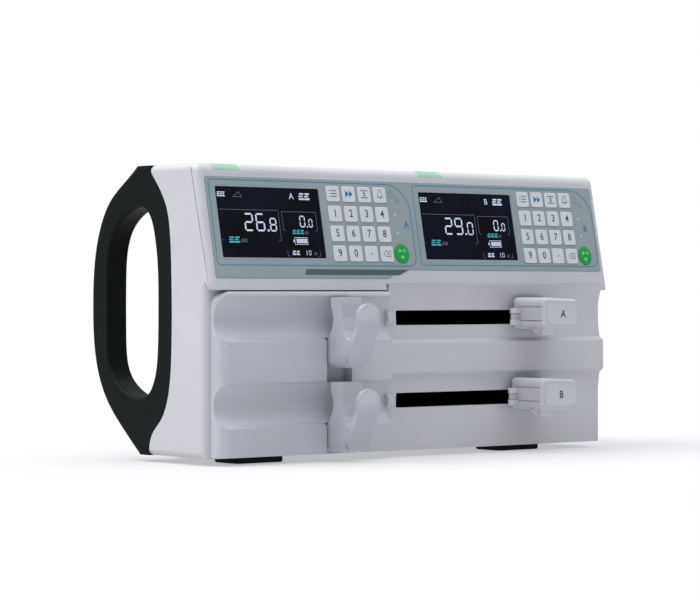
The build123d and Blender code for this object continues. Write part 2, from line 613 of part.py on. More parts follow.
def display_modules():
    modules = []
    for rect in screen_rects(GLASS_GROW):
        glass = on_panel(rect, -5.5, OVERLAY_PROUD - OVERLAY_T)
        box = rect.bounding_box()
        back = rounded_rect(box.min.X - 4, box.max.X + 4, box.min.Y - 5, box.max.Y + 5, 1.0)
        modules.append(glass + on_panel(back, -9.5, -5.5))
    return modules


def alarm_lights():
    return [piece for piece in (outer_body & light_blocks()).solids()]


# ---------------------------------------------------------------- inner parts and trim
def main_board():
    """Main board with the power inlet soldered to it, which reaches the rear wall."""
    board = span_box(150, 370, BOARD_Y, BOARD_Y + 1.6, 22, 190)
    chips = ((180, 150, 22, 22, 3), (230, 155, 14, 30, 2), (300, 140, 40, 18, 8), (190, 60, 30, 12, 6))
    for x, z, w, h, t in chips:
        board += span_box(x, x + w, BOARD_Y - t, BOARD_Y, z, z + h)
    half_w, half_h = 13.7, 10.2
    x0, x1, z0, z1 = INLET_X - half_w, INLET_X + half_w, INLET_Z - half_h, INLET_Z + half_h
    inlet = span_box(x0, x1, BOARD_Y + 1.6, CASE_D - 0.2, z0, z1)
    inlet -= span_box(INLET_X - 12, INLET_X + 12, CASE_D - 14, CASE_D + 1, INLET_Z - 8, INLET_Z + 8)
    for dx in (-7, 0, 7):
        x = INLET_X + dx
        inlet += span_box(x - 1, x + 1, CASE_D - 15, CASE_D - 3, INLET_Z - 2, INLET_Z + 2)
    return board + inlet


def battery_pack():
    return [rod_x(PLATE_L + 20, PLATE_L + 90, 66, z, 9.2) for z in (24, 43, 62)]


def rubber_feet():
    feet = []
    for x, y in FEET:
        foot = span_box(x, x + FOOT_W, y, y + FOOT_D, -FOOT_H, 0)
        foot = fillet(foot.edges().filter_by(Axis.Z), 4.0)
        feet.append(chamfer(foot.faces().sort_by(Axis.Z)[0].edges(), 1.0))
    return feet


def housing_screws():
    screws = []
    for x, z in POSTS:
        screw = rod_y(x, CASE_D - 3.5, CASE_D - 0.9, z, 3.4) + rod_y(x, 40, CASE_D - 3.5, z, 1.6)
        screws.append(screw - prism_y(Pos(x, z) * RegularPolygon(1.6, 6), CASE_D - 2.4, CASE_D))
    return screws


# ---------------------------------------------------------------- build and write
def save(name, shape):
    """Move a sub-part, or the separate solids of one, to the written frame and store it."""
    solids = []
    for item in shape if isinstance(shape, list) else [shape]:
        solids += item.solids()
    moved = [Pos(SHIFT) * solid for solid in solids]
    export_step(moved[0] if len(moved) == 1 else Compound(children=moved), f"parts/{name}.step")


def main():
    os.makedirs("parts", exist_ok=True)
    front, rear = case_shells()
    save("front_housing", front)
    save("rear_housing", rear)
    save("carry_handle", carry_handle())
    save("syringe_cradle", cradle())
    save("panel_overlay", panel_overlay())
    save("display_modules", display_modules())
    save("alarm_lights", alarm_lights())
    save("drive_chassis", drive_chassis())
    save("guide_rods", guide_rods())
    save("shaft_bearings", shaft_bearings())
    save("drive_motors", drive_motors())
    save("clamp_springs", [clamp_spring(axis) for axis in CHANNELS.values()])
    save("main_board", main_board())
    save("battery_pack", battery_pack())
    save("rubber_feet", rubber_feet())
    save("housing_screws", housing_screws())
    for channel, axis in CHANNELS.items():
        save(f"drive_head_{channel}", drive_head(channel, axis))
        save(f"carriage_{channel}", carriage(channel, axis))
        save(f"leadscrew_{channel}", leadscrew(axis))
        save(f"clutch_button_{channel}", clutch_button(channel, axis))
        arm = clamp_arm(axis) - rod_y(CLAMP_X, -18, 0, axis - CLAMP_ROD_DROP, CLAMP_ROD_R)
        save(f"syringe_clamp_{channel}", [arm, clamp_rod(axis)])
    for label, x, s in key_centres():
        save(f"key_{label}", key_pad(key_rect(x, s, 0.0)))
    for label, x, s in start_centres():
        save(f"key_{label}", key_pad(Pos(x, s) * Circle(START_R)))
    print("shift", tuple(SHIFT))


main()
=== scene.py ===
"""Looks of the two-channel syringe pump: materials, printed panel, lit screens, springs, light and camera.

Lengths in the tables below are millimetres in the pump's design frame: X from the left side wall,
Y from the lower front face towards the rear, Z from the underside of the case.  place() turns them
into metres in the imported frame, whose corners are read from the CAD nodes.
"""
import json
import math

import bmesh
import bpy
from mathutils import Matrix, Vector


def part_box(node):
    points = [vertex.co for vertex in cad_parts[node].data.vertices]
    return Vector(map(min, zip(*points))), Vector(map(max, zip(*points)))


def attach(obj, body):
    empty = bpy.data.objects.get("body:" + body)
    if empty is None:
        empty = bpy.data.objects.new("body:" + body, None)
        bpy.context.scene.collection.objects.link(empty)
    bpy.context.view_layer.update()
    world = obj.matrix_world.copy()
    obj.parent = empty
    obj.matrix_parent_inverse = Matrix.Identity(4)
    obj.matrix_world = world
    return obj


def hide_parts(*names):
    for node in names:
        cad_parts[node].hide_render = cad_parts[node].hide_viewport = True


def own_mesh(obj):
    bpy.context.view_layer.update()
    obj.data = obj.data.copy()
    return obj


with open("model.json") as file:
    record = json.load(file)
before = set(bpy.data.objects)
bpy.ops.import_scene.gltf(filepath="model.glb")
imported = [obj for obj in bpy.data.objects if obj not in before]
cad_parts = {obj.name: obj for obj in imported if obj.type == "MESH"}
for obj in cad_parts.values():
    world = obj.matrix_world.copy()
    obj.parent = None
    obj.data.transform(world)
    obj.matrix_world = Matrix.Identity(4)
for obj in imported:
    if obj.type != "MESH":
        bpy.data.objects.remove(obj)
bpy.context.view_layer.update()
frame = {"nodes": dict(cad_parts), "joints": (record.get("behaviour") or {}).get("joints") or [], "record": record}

MM = 0.001
case_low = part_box("front_housing")[0]
cradle_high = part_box("syringe_cradle")[1]
ORIGIN = Vector((case_low.x, cradle_high.y, case_low.z))


def place(x, y, z):
    """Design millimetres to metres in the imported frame."""
    return ORIGIN + Vector((x, y, z)) * MM


# ---------------------------------------------------------------- the tilted panel's own frame
key_joint = next(j for j in frame["joints"] if j["name"] == "key_a_1")
PANEL_NORMAL = -Vector(key_joint["axis"]).normalized()
PANEL_RIGHT = Vector((1, 0, 0))
PANEL_UP = PANEL_NORMAL.cross(PANEL_RIGHT).normalized()
PANEL_ORIGIN = place(0, -8, 125)
FILM_LIFT = 0.3           # film surface above the panel surface
KEY_LIFT = 0.9            # key tops above the panel surface
GLASS_LIFT = -0.5         # screen glass below the panel surface
PRINT_LIFT = 0.03         # prints above the film or key that carries them
SCREEN_PRINT_LIFT = 0.05  # lit shapes above the screen glass
CHANNEL_SHIFT = 194.1
KEY_X, KEY_S, KEY_PITCH = 122.5, 24.8, 15.25
START_X, START_S = 183.2, 25.0
SCREEN_X, SCREEN_S, SCREEN_H = 13.9, 21.4, 52.0


def on_panel(x, s, lift):
    """Panel millimetres (X, distance up the slope, height above it) to metres."""
    return PANEL_ORIGIN + (PANEL_RIGHT * x + PANEL_UP * s + PANEL_NORMAL * lift) * MM


# ---------------------------------------------------------------- materials
def srgb(r, g, b):
    """Display colour, 0 to 255, to linear RGBA."""
    def linear(c):
        c /= 255
        return c / 12.92 if c <= 0.04045 else ((c + 0.055) / 1.055) ** 2.4
    return (linear(r), linear(g), linear(b), 1.0)


def new_material(name):
    mat = bpy.data.materials.new(name)
    mat.use_nodes = True
    tree = mat.node_tree
    return mat, tree, tree.nodes["Principled BSDF"]


def noise(tree, scale, detail=2.0, rough=0.5):
    coords = tree.nodes.new("ShaderNodeTexCoord")
    node = tree.nodes.new("ShaderNodeTexNoise")
    node.inputs["Scale"].default_value = scale
    node.inputs["Detail"].default_value = detail
    node.inputs["Roughness"].default_value = rough
    tree.links.new(coords.outputs["Object"], node.inputs["Vector"])
    return node


def ramp(tree, source, low, high, pos0=0.3, pos1=0.7):
    node = tree.nodes.new("ShaderNodeValToRGB")
    node.color_ramp.elements[0].position = pos0
    node.color_ramp.elements[1].position = pos1
    node.color_ramp.elements[0].color = low
    node.color_ramp.elements[1].color = high
    tree.links.new(source, node.inputs["Fac"])
    return node


def tinted(color, factor):
    return (color[0] * factor, color[1] * factor, color[2] * factor, 1.0)


GRAIN_DEPTH = 0.0002      # metres
HIGHLIGHT_FROM, HIGHLIGHT_TO = 0.52, 0.62   # pointiness at which the painted edge highlight starts and is full


def moulded(name, color, rough, grain=900.0, bump=0.05, spread=0.04, edge_highlight=0.0, shine=0.5):
    """Moulded or printed plastic: faint tone drift, fine grain and, when asked, a painted highlight that lightens
    convex edges.
    """
    mat, tree, bsdf = new_material(name)
    tone = noise(tree, 9.0, 3.0)
    mix = ramp(tree, tone.outputs["Fac"], tinted(color, 1 - spread), tinted(color, 1 + spread))
    color_out = mix.outputs["Color"]
    # painted highlight: edges picked out by pointiness are mixed towards a lighter colour, standing in for light
    # caught on rounded edges
    if edge_highlight:
        geometry = tree.nodes.new("ShaderNodeNewGeometry")
        edge = tree.nodes.new("ShaderNodeValToRGB")
        edge.color_ramp.elements[0].position = HIGHLIGHT_FROM
        edge.color_ramp.elements[1].position = HIGHLIGHT_TO
        tree.links.new(geometry.outputs["Pointiness"], edge.inputs["Fac"])
        blend = tree.nodes.new("ShaderNodeMix")
        blend.data_type = "RGBA"
        scale = tree.nodes.new("ShaderNodeMath")
        scale.operation = "MULTIPLY"
        scale.inputs[1].default_value = edge_highlight
        tree.links.new(edge.outputs["Color"], scale.inputs[0])
        tree.links.new(scale.outputs[0], blend.inputs["Factor"])
        tree.links.new(color_out, blend.inputs["A"])
        # colour of the painted edge highlight: a lighter tint for dark plastics, near white for light ones
        dark = max(color[:3]) < 0.3
        blend.inputs["B"].default_value = tinted(color, 1.5) if dark else (0.9, 0.9, 0.92, 1)
        color_out = blend.outputs["Result"]
    tree.links.new(color_out, bsdf.inputs["Base Color"])
    fine = noise(tree, grain, 2.0, 0.6)
    rough_map = tree.nodes.new("ShaderNodeMapRange")
    rough_map.inputs["To Min"].default_value = rough - 0.05
    rough_map.inputs["To Max"].default_value = rough + 0.07
    tree.links.new(tone.outputs["Fac"], rough_map.inputs["Value"])
    tree.links.new(rough_map.outputs["Result"], bsdf.inputs["Roughness"])
    bump_node = tree.nodes.new("ShaderNodeBump")
    bump_node.inputs["Strength"].default_value = bump
    bump_node.inputs["Distance"].default_value = GRAIN_DEPTH
    tree.links.new(fine.outputs["Fac"], bump_node.inputs["Height"])
    tree.links.new(bump_node.outputs["Normal"], bsdf.inputs["Normal"])
    bsdf.inputs["Specular IOR Level"].default_value = shine
    return mat


BOARD_BACK = 99.0         # rear of the main board; what is behind it is the mains socket


def circuit_board(name, color, socket_color):
    """Solder-masked board; the mains socket behind it, moulded in black, is one solid with it."""
    mat = moulded(name, color, 0.45)
    tree = mat.node_tree
    bsdf = next(node for node in tree.nodes if node.type == "BSDF_PRINCIPLED")
    board_color = bsdf.inputs["Base Color"].links[0].from_socket
    where = tree.nodes.new("ShaderNodeNewGeometry")
    split = tree.nodes.new("ShaderNodeSeparateXYZ")
    behind = tree.nodes.new("ShaderNodeMath")
    behind.operation = "GREATER_THAN"
    behind.inputs[1].default_value = place(0, BOARD_BACK, 0).y
    tree.links.new(where.outputs["Position"], split.inputs["Vector"])
    tree.links.new(split.outputs["Y"], behind.inputs[0])
    pick = tree.nodes.new("ShaderNodeMix")
    pick.data_type = "RGBA"
    tree.links.new(behind.outputs[0], pick.inputs["Factor"])
    tree.links.new(board_color, pick.inputs["A"])
    pick.inputs["B"].default_value = socket_color
    tree.links.new(pick.outputs["Result"], bsdf.inputs["Base Color"])
    return mat


def metal(name, color, rough):
    """Ground or brushed metal with fine lines along X."""
    mat, tree, bsdf = new_material(name)
    bsdf.inputs["Metallic"].default_value = 1.0
    coords = tree.nodes.new("ShaderNodeTexCoord")
    mapping = tree.nodes.new("ShaderNodeMapping")
    mapping.inputs["Scale"].default_value = (1, 60, 60)
    lines = tree.nodes.new("ShaderNodeTexNoise")
    lines.inputs["Scale"].default_value = 60.0
    tree.links.new(coords.outputs["Object"], mapping.inputs["Vector"])
    tree.links.new(mapping.outputs["Vector"], lines.inputs["Vector"])
    tint = ramp(tree, lines.outputs["Fac"], tinted(color, 0.8), tinted(color, 1.1))
    tree.links.new(tint.outputs["Color"], bsdf.inputs["Base Color"])
    rough_map = tree.nodes.new("ShaderNodeMapRange")
    rough_map.inputs["To Min"].default_value = rough * 0.7
    rough_map.inputs["To Max"].default_value = rough * 1.3
    tree.links.new(lines.outputs["Fac"], rough_map.inputs["Value"])
    tree.links.new(rough_map.outputs["Result"], bsdf.inputs["Roughness"])
    return mat


def lit(name, color, strength):
    """Glowing screen print with the faint unevenness of a backlight."""
    mat, tree, bsdf = new_material(name)
    glow = noise(tree, 60.0, 1.0)
    tint = ramp(tree, glow.outputs["Fac"], tinted(color, 0.86), color)
    tree.links.new(tint.outputs["Color"], bsdf.inputs["Emission Color"])
    bsdf.inputs["Emission Strength"].default_value = strength
    bsdf.inputs["Base Color"].default_value = (0.01, 0.01, 0.02, 1)
    bsdf.inputs["Roughness"].default_value = 0.3
    return mat


def screen_glass(name):
    """Dark display glass, clouded from black to navy, with faint smears in its gloss."""
    mat, tree, bsdf = new_material(name)
    cloud = noise(tree, 22.0, 2.0)
    tint = ramp(tree, cloud.outputs["Fac"], srgb(1, 1, 4), srgb(5, 8, 30), 0.35, 0.75)
    tree.links.new(tint.outputs["Color"], bsdf.inputs["Base Color"])
    tree.links.new(tint.outputs["Color"], bsdf.inputs["Emission Color"])
    bsdf.inputs["Emission Strength"].default_value = 0.5
    bsdf.inputs["Specular IOR Level"].default_value = 0.25
    smear = noise(tree, 35.0, 3.0)
    rough_map = tree.nodes.new("ShaderNodeMapRange")
    rough_map.inputs["To Min"].default_value = 0.08
    rough_map.inputs["To Max"].default_value = 0.2
    tree.links.new(smear.outputs["Fac"], rough_map.inputs["Value"])
    tree.links.new(rough_map.outputs["Result"], bsdf.inputs["Roughness"])
    return mat


def lens(name, color):
    """Translucent alarm light lens."""
    mat, tree, bsdf = new_material(name)
    cloud = noise(tree, 120.0, 2.0)
    tint = ramp(tree, cloud.outputs["Fac"], tinted(color, 0.92), tinted(color, 1.05))
    tree.links.new(tint.outputs["Color"], bsdf.inputs["Base Color"])
    bsdf.inputs["Roughness"].default_value = 0.22
    bsdf.inputs["Subsurface Weight"].default_value = 0.25
    bsdf.inputs["Subsurface Radius"].default_value = (0.004, 0.006, 0.004)
    bsdf.inputs["Coat Weight"].default_value = 0.3
    return mat


WHITE = srgb(195, 195, 201)
MATS = {
    "case_white": moulded("case_white_m", WHITE, 0.42),
    # the cradle, clamp, head and handle plastics carry a painted highlight on their edges
    "cradle_white": moulded("cradle_white_m", srgb(174, 178, 189), 0.42, edge_highlight=0.2),
    "clamp_white": moulded("clamp_white_m", srgb(178, 181, 191), 0.38, edge_highlight=0.2),
    "head_white": moulded("head_white_m", srgb(190, 190, 197), 0.36, edge_highlight=0.3),
    "handle_black": moulded("handle_black_m", srgb(7, 13, 14), 0.55, 700.0, 0.18, edge_highlight=0.3, shine=0.12),
    "overlay_grey": moulded("overlay_grey_m", srgb(146, 158, 162), 0.38, grain=1600.0, bump=0.03),
    "screen_glass": screen_glass("screen_glass_m"),
    "light_green": lens("light_green_m", srgb(150, 186, 166)),
    "key_pad": moulded("key_pad_m", srgb(208, 212, 216), 0.4, grain=1600.0, bump=0.03, spread=0.02),
    "key_green": moulded("key_green_m", srgb(0, 158, 68), 0.4, grain=1600.0, bump=0.03),
    "foot_rubber": moulded("foot_rubber_m", srgb(24, 27, 28), 0.8, 500.0, 0.3, shine=0.1),
    "chassis_black": moulded("chassis_black_m", srgb(10, 10, 11), 0.75, shine=0.1),
    "rod_steel": metal("rod_steel_m", (0.6, 0.6, 0.62), 0.25),
    "bearing_steel": metal("bearing_steel_m", (0.55, 0.5, 0.42), 0.35),
    "motor_black": moulded("motor_black_m", srgb(24, 24, 26), 0.5),
    "spring_steel": metal("spring_steel_m", (0.5, 0.5, 0.52), 0.3),
    "board_green": circuit_board("board_green_m", srgb(20, 90, 50), srgb(14, 14, 15)),
    "battery_wrap": moulded("battery_wrap_m", srgb(40, 90, 170), 0.3),
    "screw_steel": metal("screw_steel_m", (0.5, 0.5, 0.5), 0.35),
    "carriage_black": moulded("carriage_black_m", srgb(10, 10, 11), 0.7, shine=0.15),
}
INK_BLUE = moulded("ink_blue_m", srgb(24, 112, 160), 0.4, bump=0.0)
INK_TEAL = moulded("ink_teal_m", srgb(40, 128, 162), 0.4, bump=0.0)
INK_DARK = moulded("ink_dark_m", srgb(52, 56, 62), 0.45, bump=0.0)
INK_GREY = moulded("ink_grey_m", srgb(88, 136, 154), 0.45, bump=0.0)
INK_PALE = moulded("ink_pale_m", srgb(186, 200, 202), 0.45, bump=0.0)
INK_STRIP = moulded("ink_strip_m", srgb(78, 92, 98), 0.42, bump=0.0)
INK_LIGHT = moulded("ink_light_m", srgb(150, 200, 165), 0.45, bump=0.0)
GLOW_WHITE = lit("glow_white_m", srgb(205, 216, 240), 1.0)
GLOW_TEAL = lit("glow_teal_m", srgb(60, 180, 185), 0.9)
GLOW_DIM = lit("glow_dim_m", srgb(120, 135, 150), 0.6)


def dress_cad_nodes():
    """Every CAD node takes the material of its slot in the record."""
    slots = {part["node"]: part["material_slot"] for part in frame["record"]["subparts"]}
    for node, piece in frame["nodes"].items():
        piece.data.materials.clear()
        piece.data.materials.append(MATS[slots[node]])


dress_cad_nodes()


# ---------------------------------------------------------------- flat prints as sheets of mesh
def sheet_mesh(name, loops, to_point, material, body):
    """Filled outlines in two coordinates, as one flat sheet; to_point gives each corner its place."""
    mesh = bmesh.new()
    for loop in loops:
        mesh.faces.new([mesh.verts.new(to_point(x, y)) for x, y in loop])
    bmesh.ops.triangulate(mesh, faces=mesh.faces[:])
    data = bpy.data.meshes.new(name)
    mesh.to_mesh(data)
    mesh.free()
    piece = bpy.data.objects.new(name, data)
    bpy.context.scene.collection.objects.link(piece)
    data.materials.append(material)
    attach(piece, body)
    return piece


def strip_quads(points, width, closed=False):
    """Quads that follow a line of points at a constant width, with mitred corners."""
    count = len(points)
    sides = []
    for i, (x, y) in enumerate(points):
        before = points[(i - 1) % count] if closed or i > 0 else None
        after = points[(i + 1) % count] if closed or i < count - 1 else None
        directions = []
        if before:
            directions.append(Vector((x - before[0], y - before[1])).normalized())
        if after:
            directions.append(Vector((after[0] - x, after[1] - y)).normalized())
        run = sum(directions, Vector((0, 0))).normalized()
        normal = Vector((-run.y, run.x))
        stretch = 1 / max(0.3, abs(normal.dot(Vector((-directions[0].y, directions[0].x)))))
        offset = normal * (width / 2 * stretch)
        sides.append(((x + offset.x, y + offset.y), (x - offset.x, y - offset.y)))
    quads = []
    for i in range(count if closed else count - 1):
        a, b = sides[i], sides[(i + 1) % count]
        quads.append([a[0], a[1], b[1], b[0]])
    return quads


def arc(cx, cy, r, a0, a1, steps=10):
    """Points on an arc, angles in degrees."""
    return [
        (cx + r * math.cos(math.radians(a0 + (a1 - a0) * i / steps)),
         cy + r * math.sin(math.radians(a0 + (a1 - a0) * i / steps)))
        for i in range(steps + 1)
    ]


def rect(x0, y0, x1, y1):
    return [(x0, y0), (x1, y0), (x1, y1), (x0, y1)]


def text_mesh(name, words, x, s, size, lift, material, body, squeeze=1.0, bold=0.0):
    """Printed characters on the panel, as a mesh."""
    curve = bpy.data.curves.new(name, "FONT")
    curve.body = words
    curve.size = size * MM
    curve.align_x = "CENTER"
    curve.offset = bold * MM
    curve.align_y = "CENTER"
    curve.resolution_u = 3
    holder = bpy.data.objects.new(name + "_curve", curve)
    bpy.context.scene.collection.objects.link(holder)
    bpy.context.view_layer.update()
    evaluated = holder.evaluated_get(bpy.context.evaluated_depsgraph_get())
    data = bpy.data.meshes.new_from_object(evaluated)
    bpy.data.objects.remove(holder)
    basis = Matrix((PANEL_RIGHT * squeeze, PANEL_UP, PANEL_NORMAL)).transposed().to_4x4()
    basis.translation = on_panel(x, s, lift)
    data.transform(basis)
    data.materials.clear()
    data.materials.append(material)
    piece = bpy.data.objects.new(name, data)
    bpy.context.scene.collection.objects.link(piece)
    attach(piece, body)
    return piece


def panel_print(name, loops, material, body="pump_body", lift=FILM_LIFT + PRINT_LIFT):
    """Filled outlines printed on the film, on a key or on a screen of the panel."""
    return sheet_mesh(name, loops, lambda x, s: on_panel(x, s, lift), material, body)


# ---------------------------------------------------------------- printed panel film
def channel_border(shift, step):
    """Thin line round one channel's controls, with a large round at its upper right."""
    left, right = 7.9 + shift, 197.0 + shift
    low, high = 11.0 + step, 78.9
    points = arc(left + 3, low + 3, 3, 180, 270, 6)
    points += arc(right - 7, low + 7, 7, 270, 360, 10)
    points += arc(right - 22, high - 22, 22, 0, 90, 18)
    points += arc(left + 3, high - 3, 3, 90, 180, 6)
    return points


def film_prints():
    """Borders, channel letters, pictograms and the plain strip that stands in for the model line."""
    for name, shift, step in (("a", 0.0, 4.4), ("b", CHANNEL_SHIFT, 5.4)):
        line = channel_border(shift, step)
        panel_print(f"border_{name}", strip_quads(line, 0.75, closed=True), INK_TEAL)
        letter_x = 191.6 if name == "a" else 187.6 + shift
        text_mesh(f"channel_letter_{name}", name.upper(), letter_x, 47.5, 7.2, FILM_LIFT + PRINT_LIFT,
                  INK_BLUE, "pump_body", bold=0.12)
        film_icons(name, shift)
    strip = [(86.5, 8.3), (178.0, 8.3), (186.0, 11.6), (188.5, 12.6), (88.5, 12.6)]
    panel_print("model_strip", [strip], INK_STRIP)


def ring(cx, cy, r, width, a0=0, a1=360, steps=20):
    return strip_quads(arc(cx, cy, r, a0, a1, steps), width)


def film_icons(name, shift):
    """Faint generic pictograms in the upper right of each keypad."""
    cx, cy = 180.5 + shift, 70.5
    loops = ring(cx - 0.6, cy + 0.4, 2.5, 0.5) + ring(cx + 4.8, cy - 4.0, 2.1, 0.45)
    loops += strip_quads([(cx + 1.2, cy - 1.3), (cx + 3.3, cy - 2.7)], 0.5)
    loops += strip_quads([(cx - 0.6, cy + 2.9), (cx - 0.6, cy + 4.3)], 0.5)
    loops += ring(cx + 4.8, cy - 4.0, 0.6, 0.5)
    panel_print(f"link_icon_{name}", loops, INK_GREY)
    dots = [arc(181.5 + shift, 55.5, 1.0, 0, 342, 9), arc(181.9 + shift, 41.5, 1.0, 0, 342, 9)]
    panel_print(f"status_marks_{name}", dots, INK_PALE)


film_prints()


# ---------------------------------------------------------------- key legends
LEGENDS = [["9", "0", "point", "clear"], ["5", "6", "7", "8"], ["1", "2", "3", "4"],
           ["menu", "purge", "limit", "mute"]]


def icon_shapes(label, x, s):
    """Generic pictograms for the function keys, as outlines about a key's centre."""
    if label == "menu":
        lines = []
        for dy in (2.2, 0.0, -2.2):
            low, high = s + dy - 0.4, s + dy + 0.4
            lines += [rect(x - 1.6, low, x + 3.6, high), rect(x - 3.6, low, x - 2.5, high)]
        return lines, INK_BLUE
    if label == "purge":
        first = [(x - 3.4, s - 2.8), (x - 3.4, s + 2.8), (x + 0.1, s)]
        second = [(x + 0.3, s - 2.8), (x + 0.3, s + 2.8), (x + 3.8, s)]
        return [first, second], INK_BLUE
    if label == "limit":
        shapes = [rect(x - 3.6, s - 3.0, x + 3.6, s - 2.2), rect(x - 3.6, s + 2.4, x + 3.6, s + 3.2)]
        shapes += [rect(x - 0.35, s - 1.0, x + 0.35, s + 1.2)]
        shapes.append([(x - 1.5, s - 0.4), (x + 1.5, s - 0.4), (x, s - 2.0)])
        shapes.append([(x - 1.5, s + 0.6), (x + 1.5, s + 0.6), (x, s + 2.2)])
        return shapes, INK_BLUE
    if label == "mute":
        bell = arc(x, s + 0.4, 2.0, 0, 180, 10)
        bell = [(x + 2.0, s - 1.4)] + bell + [(x - 2.0, s - 1.4)]
        shapes = strip_quads(bell, 0.42)
        shapes += [rect(x - 3.4, s - 2.0, x + 3.4, s - 1.5), arc(x, s - 2.3, 0.8, 180, 360, 6)]
        shapes += ring(x, s + 0.4, 3.5, 0.35, 55, 125, 6)
        return shapes, INK_DARK
    if label == "clear":
        arrow = [(x - 3.4, s), (x - 1.2, s + 2.2), (x + 3.4, s + 2.2), (x + 3.4, s - 2.2), (x - 1.2, s - 2.2)]
        shapes = strip_quads(arrow, 0.45, closed=True)
        shapes += strip_quads([(x - 0.2, s + 1.0), (x + 1.8, s - 1.0)], 0.45)
        shapes += strip_quads([(x - 0.2, s - 1.0), (x + 1.8, s + 1.0)], 0.45)
        return shapes, INK_DARK
    return [arc(x, s, 0.65, 0, 336, 14)], INK_DARK


def key_legends():
    """Numbers and pictograms on the rectangular keys, and run-or-stop marks on the round ones."""
    for channel, shift in (("a", 0.0), ("b", CHANNEL_SHIFT)):
        for row, labels in enumerate(LEGENDS):
            for column, label in enumerate(labels):
                x, s = KEY_X + shift + column * KEY_PITCH, KEY_S + row * KEY_PITCH
                node = f"key_{channel}_{label}"
                if label.isdigit():
                    text_mesh(f"legend_{channel}_{label}", label, x, s, 8.2, KEY_LIFT + PRINT_LIFT,
                              INK_DARK, node, squeeze=0.92, bold=0.1)
                else:
                    shapes, ink = icon_shapes(label, x, s)
                    panel_print(f"legend_{channel}_{label}", shapes, ink, node,
                                KEY_LIFT + PRINT_LIFT)
        x, s = START_X + shift, START_S
        play = [[(x - 3.0, s + 0.7), (x - 3.0, s + 4.0), (x + 0.2, s + 2.35)]]
        play += [rect(x + 1.2, s + 0.9, x + 2.0, s + 3.8), rect(x + 2.8, s + 0.9, x + 3.6, s + 3.8)]
        play += [rect(x - 1.3, s - 3.8, x + 1.3, s - 1.4)]
        node = f"key_{channel}_start"
        panel_print(f"legend_{channel}_start", play, INK_LIGHT, node, KEY_LIFT + PRINT_LIFT)


key_legends()


# ---------------------------------------------------------------- screen pictures
SEGMENTS = {"0": "abcdef", "2": "abged", "6": "afgedc", "8": "abcdefg", "9": "abcdfg"}


def segment_loops(digit, x, y, w, h, t):
    """Seven-segment digit whose lower left corner is (x, y)."""
    g = t * 0.22
    mid = y + h / 2

    def across(cy):
        upper = [(x + t + g, cy + t / 2), (x + w - t - g, cy + t / 2)]
        lower = [(x + w - t - g, cy - t / 2), (x + t + g, cy - t / 2)]
        return [(x + g + t / 2, cy)] + upper + [(x + w - g - t / 2, cy)] + lower

    def upright(cx, y0, y1):
        left = [(cx - t / 2, y0 + t + g), (cx - t / 2, y1 - t - g)]
        right = [(cx + t / 2, y1 - t - g), (cx + t / 2, y0 + t + g)]
        return [(cx, y0 + g + t / 2)] + left + [(cx, y1 - g - t / 2)] + right

    shapes = {
        "a": across(y + h - t / 2), "g": across(mid), "d": across(y + t / 2),
        "f": upright(x + t / 2, mid - t / 2, y + h), "b": upright(x + w - t / 2, mid - t / 2, y + h),
        "e": upright(x + t / 2, y, mid + t / 2), "c": upright(x + w - t / 2, y, mid + t / 2),
    }
    return [shapes[k] for k in SEGMENTS[digit]]


def number_loops(words, x, y, w, h, t, small):
    """A number such as 26.8, with a point and a smaller last digit."""
    loops = []
    for mark in words[:-2]:
        loops += segment_loops(mark, x, y, w, h, t)
        x += w * 1.28
    loops.append(rect(x - w * 0.06, y, x + t * 0.95, y + t * 1.1))
    x += t * 1.7
    loops += segment_loops(words[-1], x, y, w * small, h * small, t * 0.85)
    return loops


def label_bars(x, y, widths, height, gap=0.5):
    """Plain blocks that stand in for words."""
    loops = []
    for width in widths:
        loops.append(rect(x, y, x + width, y + height * 0.28))
        loops.append(rect(x, y + height * 0.42, x + width * 0.8, y + height * 0.62))
        loops.append(rect(x + width * 0.15, y + height * 0.76, x + width, y + height))
        x += width + gap
    return loops


